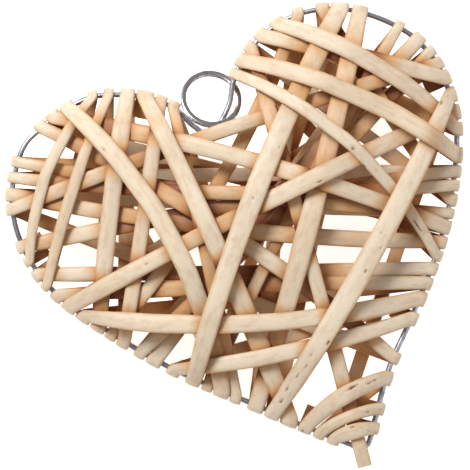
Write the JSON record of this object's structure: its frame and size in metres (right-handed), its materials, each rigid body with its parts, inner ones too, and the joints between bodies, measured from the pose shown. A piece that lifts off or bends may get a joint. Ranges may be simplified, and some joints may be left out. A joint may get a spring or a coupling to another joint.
{
  "type": "woven heart ornament",
  "caption": "Flat heart of split willow strips wound over a bent steel wire frame, with a split ring at the cleft to hang it by.",
  "frame": {"origin": "middle of the underside of the object's box, on the surface that the heart lies on", "axes": "+Z out of the heart's front, +Y from the tip to the cleft with the ring, +X to the right lobe seen from the front"},
  "size_m": [0.1968, 0.1924, 0.0576],
  "materials": {
    "willow": "peeled, matt",
    "steel_wire": "galvanised, bright",
    "steel_ring": "polished, slightly dark"
  },
  "bodies": {
    "root": {"wire_heart": "steel_wire", "split_ring": "steel_ring", "willow_strip_01": "willow", "willow_strip_02": "willow", "willow_strip_03": "willow", "willow_strip_04": "willow", "willow_strip_05": "willow", "willow_strip_06": "willow", "willow_strip_07": "willow", "willow_strip_08": "willow", "willow_strip_09": "willow", "willow_strip_10": "willow"}
  },
  "joints": []
}
